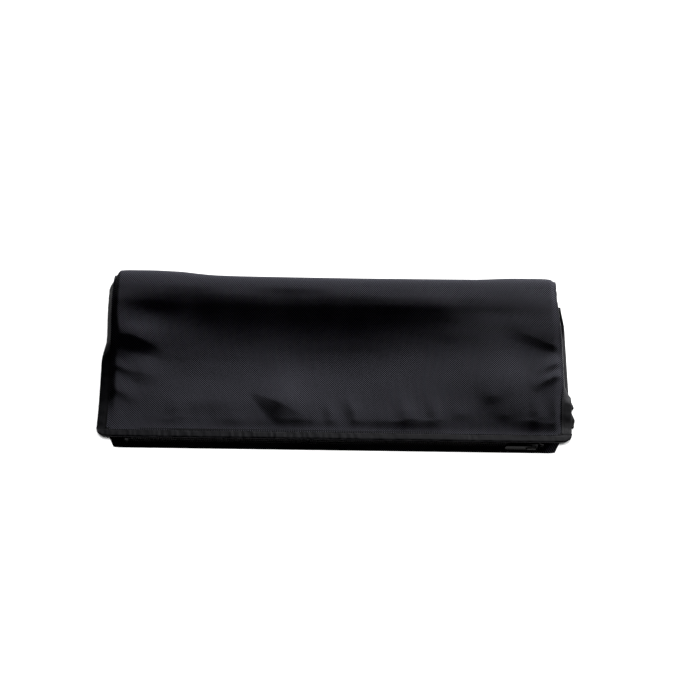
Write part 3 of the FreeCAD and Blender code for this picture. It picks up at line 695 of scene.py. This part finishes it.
def hemPoints(u, w):
    x = (u - 0.5) * 2 * bag["edgeX"]
    out, up = tapeSection(w)
    corner = np.clip((np.abs(x) - (bag["edgeX"] - binding["corner"])) / binding["corner"], 0, 1)
    shrink = binding["corner"] * (1 - np.sqrt(np.clip(1 - corner**2, 0, 1))) * binding["cornerCut"]
    out = out * (1 - shrink / binding["width"])
    puckerSize = spread(*binding["hemPucker"], smoothStep((40 - x) / 60))
    pucker = ruffle(x, out * 0.15, 3.2, 5.5) * puckerSize * smoothStep((out - 1.5) / 3)
    sway = 0.7 * ruffle(x, x * 0, 55, 9.1)
    lift = np.where(up > 0, pucker, pucker * 0.5) - binding["hemSeat"] * stitchSeat(out, up)
    middle = (bag["hemTop"] + bag["underZ"]) / 2
    return stack(x + skew(x, flapLength), bag["hemY"] - out + 0.25 * sway, middle + up + lift)


hemTape = clothPiece("hemTape", (520, 22), (2 * bag["edgeX"], 2 * binding["width"]),
    hemPoints, bag["tape"], nylonTape, inward=True)
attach(hemTape, "flap")
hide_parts("hem_binding")


def tapeDroop(side, d):
    # how far the side tape is turned down, in radians, at d mm in front of the fold
    atFold, lost, start, over = binding["droop"][side]
    return np.radians(atFold - lost * smoothStep((d - start) / over))


def sideTapePoints(side):
    def pointsAt(u, w):
        d = u * flapLength
        out, up = tapeSection(w)
        turn = tapeDroop(side, d)
        middle = seamHeight(side, d) - bag["seam"] / 2
        up = up + sidePucker(d, out, 4.4 + side) - binding["sideSeat"] * stitchSeat(out, up)
        x = bag["seamX"] + out * np.cos(turn) + up * np.sin(turn)
        z = middle - out * np.sin(turn) + up * np.cos(turn)
        return stack(side * x + skew(side * x, d), foldY - d, z)

    return pointsAt


def ringTapePoints(side):
    low, high = bag["ringLow"] + bag["seam"] / 2, bag["ringTop"] - bag["seam"] / 2
    middle, radius = (low + high) / 2, (high - low) / 2
    turn = tapeDroop(side, 0)

    def pointsAt(u, w):
        out, up = tapeSection(w)
        angle = u * math.pi
        up = up + sidePucker(angle * radius, out, 6.4 + side) * np.sin(angle)
        x = bag["seamX"] + out * np.cos(turn) + up * np.sin(turn)
        r = radius - out * np.sin(turn) + up * np.cos(turn)
        x = side * x + skew(side * x, 0) * (1 - u)
        return stack(x, foldY + r * np.sin(angle), middle + r * np.cos(angle))

    return pointsAt


def lowerTapePoints(side):
    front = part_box("base_binding_right")[0].y / mm

    def pointsAt(u, w):
        y = spread(front, foldY - bag["hingeGap"], u)
        out, up = tapeSection(w)
        turn = np.radians(binding["lowerRise"][side] - 50 * smoothStep((foldY - y) / 34))
        x = bag["seamX"] + out * np.cos(turn) - up * np.sin(turn)
        z = bag["ringLow"] + bag["seam"] / 2 + out * np.sin(turn) + up * np.cos(turn)
        return stack(side * x, y, z)

    return pointsAt


for side, word in sides:
    sizes = (flapLength, 2 * binding["width"])
    tape = clothPiece(f"{word}Tape", (150, 22), sizes, sideTapePoints(side), bag["tape"], nylonTape,
        inward=side > 0)
    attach(tape, "flap")
    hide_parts(f"flap_binding_{word}")
    ring = clothPiece(f"{word}RingTape", (60, 22), (50, sizes[1]), ringTapePoints(side), bag["tape"],
        nylonTape, inward=side < 0)
    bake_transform(ring)
    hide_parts(f"fold_binding_{word}")
    lower = clothPiece(f"{word}LowerTape", (120, 22), sizes, lowerTapePoints(side), bag["tape"],
        nylonTape, inward=side < 0)
    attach(lower, "base")
    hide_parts(f"base_binding_{word}")


def stitchPlaces(pointsAt, length, start, stop):
    # stitch places on a tape's upper face, from start to stop as shares of its length in mm
    count = int(length * (stop - start) / binding["stitchPitch"])
    u = start + (np.arange(count) + 0.5) / count * (stop - start)
    w = np.full(count, binding["stitchInset"] / tapeAround)
    here = pointsAt(u, w)
    ahead = pointsAt(u + 0.5 / length, w)
    beside = pointsAt(u, w + 0.5 / tapeAround)
    places = []
    for a, b, c in zip(here, ahead, beside):
        along = Vector(b) - Vector(a)
        face = along.cross(Vector(c) - Vector(a))
        if face.z < 0:
            face = -face
        face.normalize()
        places.append((Vector(a) + face * 0.05 * mm, along, face))
    return places


def stitchRow(name, places):
    # one capsule of thread for each stitch, laid along the tape's face
    thread = binding["threadRadius"] * mm
    size = Matrix.Diagonal((binding["stitchLength"] / 2 * mm, thread, thread, 1))
    bm = bmesh.new()
    for place, along, face in places:
        along, face = along.normalized(), face.normalized()
        across = face.cross(along).normalized()
        turn = Matrix((along, across, face)).transposed().to_4x4()
        made = bmesh.ops.create_icosphere(bm, subdivisions=1, radius=1)
        bmesh.ops.transform(bm, matrix=Matrix.Translation(place) @ turn @ size, verts=made["verts"])
    row = finishPiece(name, bm, sewingThread)
    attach(row, "flap")


stitchRow("hemStitches", stitchPlaces(hemPoints, 2 * bag["edgeX"], 0.024, 0.976))
for side, word in sides:
    stitchRow(f"{word}Stitches", stitchPlaces(sideTapePoints(side), flapLength, 0.02, 0.98))
print("bindings sewn")


# Sleeves, in mm
sleeve = {
    "ply": 0.35,  # thickness of the sleeve cloth
    "crumple": 0.35,  # depth of the sleeve cloth's unevenness
    "armGather": 0.2,  # depth of the pleats halfway along the arm,
    "cuffGather": 0.7,  # where the wrist elastic draws the cuff in,
    "bandGather": 0.12,  # and in the elastics
    "wristAt": 0.12,  # from the cuff's open end, as a share of its length
    "elbowReach": 2.4,
}


def sleeveTube(name, low, high, farSide, reach, gather, seed, material):
    # a flattened tube of cloth between two corners, running along X; farSide gives its far side along it
    nearY = low.y / mm
    gap = bag["hingeGap"]
    zMiddle, zHalf = (low.z + high.z) / mm / 2, (high.z - low.z) / mm / 2

    def pointsAt(u, w):
        x = low.x / mm + gap + u * ((high.x - low.x) / mm - 2 * gap)
        farY = farSide(u)
        angle = w * 2 * math.pi
        across = (farY - nearY) / 2 * np.cos(angle)
        y = (nearY + farY) / 2 + across
        pleat = 0.5 + 0.5 * np.sin(y / 3.1 + 2 * np.sin(x / 9 + seed))
        near = np.exp(-(((u - reach) / 0.14) ** 2))
        crumple = 0.5 + 0.5 * ruffle(x, across + 40 * np.sign(np.sin(angle)), 16, seed)
        dent = gather * near * pleat + sleeve["crumple"] * crumple
        flat = np.tanh(6 * np.sin(angle)) / math.tanh(6)
        return stack(x, y, zMiddle + (zHalf - dent * np.abs(flat)) * flat)

    sizes = (abs(high.x - low.x) / mm, 2 * (high.y - low.y) / mm)
    return clothPiece(name, (60, 160), sizes, pointsAt, sleeve["ply"], material,
        closed=True, inward=True)


def turnPiece(name, topAt, zLow, middleX, reachAt, yLow, yHigh, side, seed, nodes):
    # cloth going half round from topAt(y) down to zLow, bulging towards side, with gathers along it
    def pointsAt(u, w):
        y = spread(yLow, yHigh, u)
        angle = w * math.pi
        zTop = topAt(y)
        closing = smoothStep((y - yLow) / 5) * smoothStep((yHigh - y) / 8)
        gather = 0.35 * ruffle(y, np.sin(angle) * 3, 4.5, seed) + 0.5 * ruffle(y, y * 0, 15, seed + 2)
        reach = (reachAt(y) + gather) * closing * np.sin(angle)
        return stack(middleX + side * reach, y, (zTop + zLow) / 2 + (zTop - zLow) / 2 * np.cos(angle))

    piece = clothPiece(name, (150, 20), (yHigh - yLow, 9), pointsAt, sleeve["ply"], sleeveNylon,
        inward=side < 0)
    topAt(np.array([yLow]))[0] * mm
    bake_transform(piece)
    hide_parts(*nodes)


shoulder = {
    "x": 204,  # where the sleeve is sewn in, under the side seam
    "reach": 3.5,  # how far its gathers stand out from there
    "drop": 0.6,  # below the flap's underside
    # the right one pushes out past the tape near the hem, in a zigzag of gathers with one notch
    "reachNearHem": 14.0, "zigzag": 0.7, "zigzagPitch": 13, "notch": 2.5, "notchY": -55,
}


def shoulderReach(side):
    if side < 0:
        return lambda y: shoulder["reach"] + 0 * y

    def reachAt(y):
        nearHem = smoothStep((-16 - y) / 34)
        drift = 0.35 * ruffle(y, 0 * y, 14, 4.1)
        teeth = np.abs((y / shoulder["zigzagPitch"] + drift) % 1 - 0.5) * 4 - 1
        notch = shoulder["notch"] * np.exp(-(((y - shoulder["notchY"]) / 2.5) ** 2))
        more = shoulder["reachNearHem"] - shoulder["reach"] + shoulder["zigzag"] * teeth - notch
        return shoulder["reach"] + more * nearHem

    return reachAt


for side, word in sides:
    upperArm, forearm = f"{word}_sleeve_upper_arm", f"{word}_sleeve_forearm"
    rootLow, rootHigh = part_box(f"sleeve_{word}_root_lower")[0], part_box(f"sleeve_{word}_root_upper")[1]
    endLow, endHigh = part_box(f"sleeve_{word}_end_lower")[0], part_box(f"sleeve_{word}_end_upper")[1]
    nearY, cuffY, rootY = rootLow.y / mm, endHigh.y / mm, rootHigh.y / mm

    def armSide(u):
        return spread(rootY, cuffY, u if side < 0 else 1 - u)

    arm = sleeveTube(f"{word}SleeveArm", rootLow, rootHigh, armSide, 0.5, sleeve["armGather"],
        2.0 + side, sleeveNylon)
    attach(arm, upperArm)
    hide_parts(f"sleeve_{word}_root_lower", f"sleeve_{word}_root_upper")
    wristAt = sleeve["wristAt"] if side < 0 else 1 - sleeve["wristAt"]
    cuff = sleeveTube(f"{word}SleeveCuff", endLow, endHigh, lambda u: cuffY + 0 * u, wristAt,
        sleeve["cuffGather"], 5.0 + side, sleeveNylon)
    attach(cuff, forearm)
    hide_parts(f"sleeve_{word}_end_lower", f"sleeve_{word}_end_upper")

    shoulderX = side * shoulder["x"]
    turnPiece(f"{word}SleeveShoulder",
        lambda y: flapUnderHeight(0 * y + shoulderX, y) - shoulder["drop"],
        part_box(f"sleeve_{word}_root_fold")[0].z / mm + sleeve["ply"], shoulderX, shoulderReach(side),
        nearY, rootY, side, 3.3 + side, [f"sleeve_{word}_root_fold"])
    elbowX = (rootLow.x if side > 0 else rootHigh.x) / mm
    turnPiece(f"{word}SleeveElbow",
        lambda y: rootHigh.z / mm - sleeve["ply"] + 0 * y,
        endLow.z / mm + sleeve["ply"], elbowX, lambda y: sleeve["elbowReach"] + 0 * y,
        nearY, cuffY, -side, 8.3 + side,
        [f"sleeve_{word}_mid_fold_outer", f"sleeve_{word}_mid_fold_inner"])
    for place in ("wrist", "forearm"):
        node = f"sleeve_{word}_{place}_elastic"
        bandLow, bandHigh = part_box(node)
        band = sleeveTube(f"{word}{place.capitalize()}Elastic", bandLow, bandHigh,
            lambda u: bandHigh.y / mm + 0 * u, 0.5, sleeve["bandGather"], 7.0 + side, knittedElastic)
        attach(band, forearm)
        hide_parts(node)
print("sleeves made")


# Zips, in mm
zipLook = {
    "pitch": 2.0,  # from one turn of the coil to the next on the same tape
    "bead": 0.62,  # half the width of a turn
    "tapeThick": 0.5,
    "tapeSink": 0.45,  # from the CAD tape's faces to the cloth's middle
}


def coilPiece(name, node, phase):
    # the coil's turns along one tape, one bead for each turn
    low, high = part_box(node)
    centre = (low + high) / 2
    size = Matrix.Diagonal((zipLook["bead"] * mm, (high.y - low.y) / 2, (high.z - low.z) / 2, 1))
    bm = bmesh.new()
    for i in range(int((high.x - low.x) / mm / zipLook["pitch"])):
        x = low.x + (i + 0.5 + phase) * zipLook["pitch"] * mm
        made = bmesh.ops.create_uvsphere(bm, u_segments=8, v_segments=5, radius=1)
        place = Matrix.Translation((x, centre.y, centre.z))
        bmesh.ops.transform(bm, matrix=place @ size, verts=made["verts"])
    piece = finishPiece(name, bm, coilNylon)
    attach(piece, "base")
    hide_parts(node)


def zipTape(name, node, up):
    # woven tape from its sewn edge inside the mouth (w = 1) out to the coil (w = 0)
    low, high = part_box(node)
    sewn, free = (high.z, low.z) if up > 0 else (low.z, high.z)
    inner = sewn / mm - up * zipLook["tapeSink"]
    outer = free / mm + up * zipLook["tapeSink"]

    def pointsAt(u, w):
        x, y = spread(low.x, high.x, u) / mm, spread(low.y, high.y, w) / mm
        return stack(x, y, spread(outer, inner, smoothStep(w)) + 0.08 * ruffle(x, y * 0.3, 8, 2.2) * w)

    sizes = ((high.x - low.x) / mm, (high.y - low.y) / mm)
    piece = clothPiece(name, (180, 12), sizes, pointsAt, zipLook["tapeThick"], zipTapeCloth)
    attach(piece, "base")
    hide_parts(node)


for word in ("outer", "inner"):
    coilPiece(f"{word}CoilLower", f"{word}_zip_coil_lower", -0.25)
    coilPiece(f"{word}CoilUpper", f"{word}_zip_coil_upper", 0.25)
    zipTape(f"{word}ZipTapeLower", f"{word}_zip_tape_lower", -1)
    zipTape(f"{word}ZipTapeUpper", f"{word}_zip_tape_upper", 1)

# The stops, sliders and pulls keep their CAD shapes.
finishes = {"stop": lacqueredStop, "slider": enamelledZinc, "pull": enamelledZinc}
for node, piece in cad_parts.items():
    for word, material in finishes.items():
        if word in node:
            for slot in piece.material_slots:
                slot.material = material
print("zips made")


# Floor, light and camera
studio = {
    "windowPlace": (0.78, 1.5, 0.465), "windowSize": (1.5, 0.35), "windowPower": 56,
    "floorPlace": (0, -1.5, 2.6), "floorSize": (0.5, 0.5), "floorPower": 130,
    "air": 0.005,
}
view = {
    "elevation": 52, "distance": 2.0, "aim": (13.2, 16.05, 12.56),  # degrees, m and mm
    "lens": 109.9, "sensor": 36, "roll": 0.8,
}

bm = bmesh.new()
bmesh.ops.create_grid(bm, x_segments=2, y_segments=2, size=4)
floor = finishPiece("floor", bm, paperSweep)
floor.visible_diffuse = False  # the paper throws no light back up under the tapes


def softLight(name, place, size, power):
    lamp = bpy.data.lights.new(name, "AREA")
    lamp.shape = "RECTANGLE"
    lamp.size, lamp.size_y = size
    lamp.energy = power
    lampObject = bpy.data.objects.new(name, lamp)
    lampObject.location = place
    lampObject.rotation_euler = (-Vector(place)).to_track_quat("-Z", "Y").to_euler()  # it faces the bag
    lampObject.visible_camera = False  # so that the lamp doesn't hide the bag from behind
    bpy.context.scene.collection.objects.link(lampObject)
    return lampObject


softLight("windowLight", studio["windowPlace"], studio["windowSize"], studio["windowPower"])
floorLight = softLight("floorLight", studio["floorPlace"], studio["floorSize"], studio["floorPower"])
lightsFloor = bpy.data.collections.new("lightsFloor")  # it whitens the floor and leaves the cloth alone
lightsFloor.objects.link(floor)
floorLight.light_linking.receiver_collection = lightsFloor
world = bpy.data.worlds.new("studio")
bpy.context.scene.world = world
world.use_nodes = True
plug(world.node_tree, world.node_tree.nodes["Background"], {0: (1, 1, 1, 1), 1: studio["air"]})

lens = bpy.data.cameras.new("camera")
lens.lens = view["lens"]
lens.sensor_width = view["sensor"]
camera = bpy.data.objects.new("camera", lens)
up = math.radians(view["elevation"])
aim = Vector(view["aim"]) * mm
camera.location = aim + view["distance"] * Vector((0, -math.cos(up), math.sin(up)))
looking = (aim - camera.location).to_track_quat("-Z", "Y").to_matrix()
camera.rotation_euler = (looking @ Matrix.Rotation(math.radians(view["roll"]), 3, "Z")).to_euler()
bpy.context.scene.collection.objects.link(camera)
bpy.context.scene.camera = camera
bpy.context.scene.view_settings.view_transform = "Standard"
print("floor, light and camera placed")
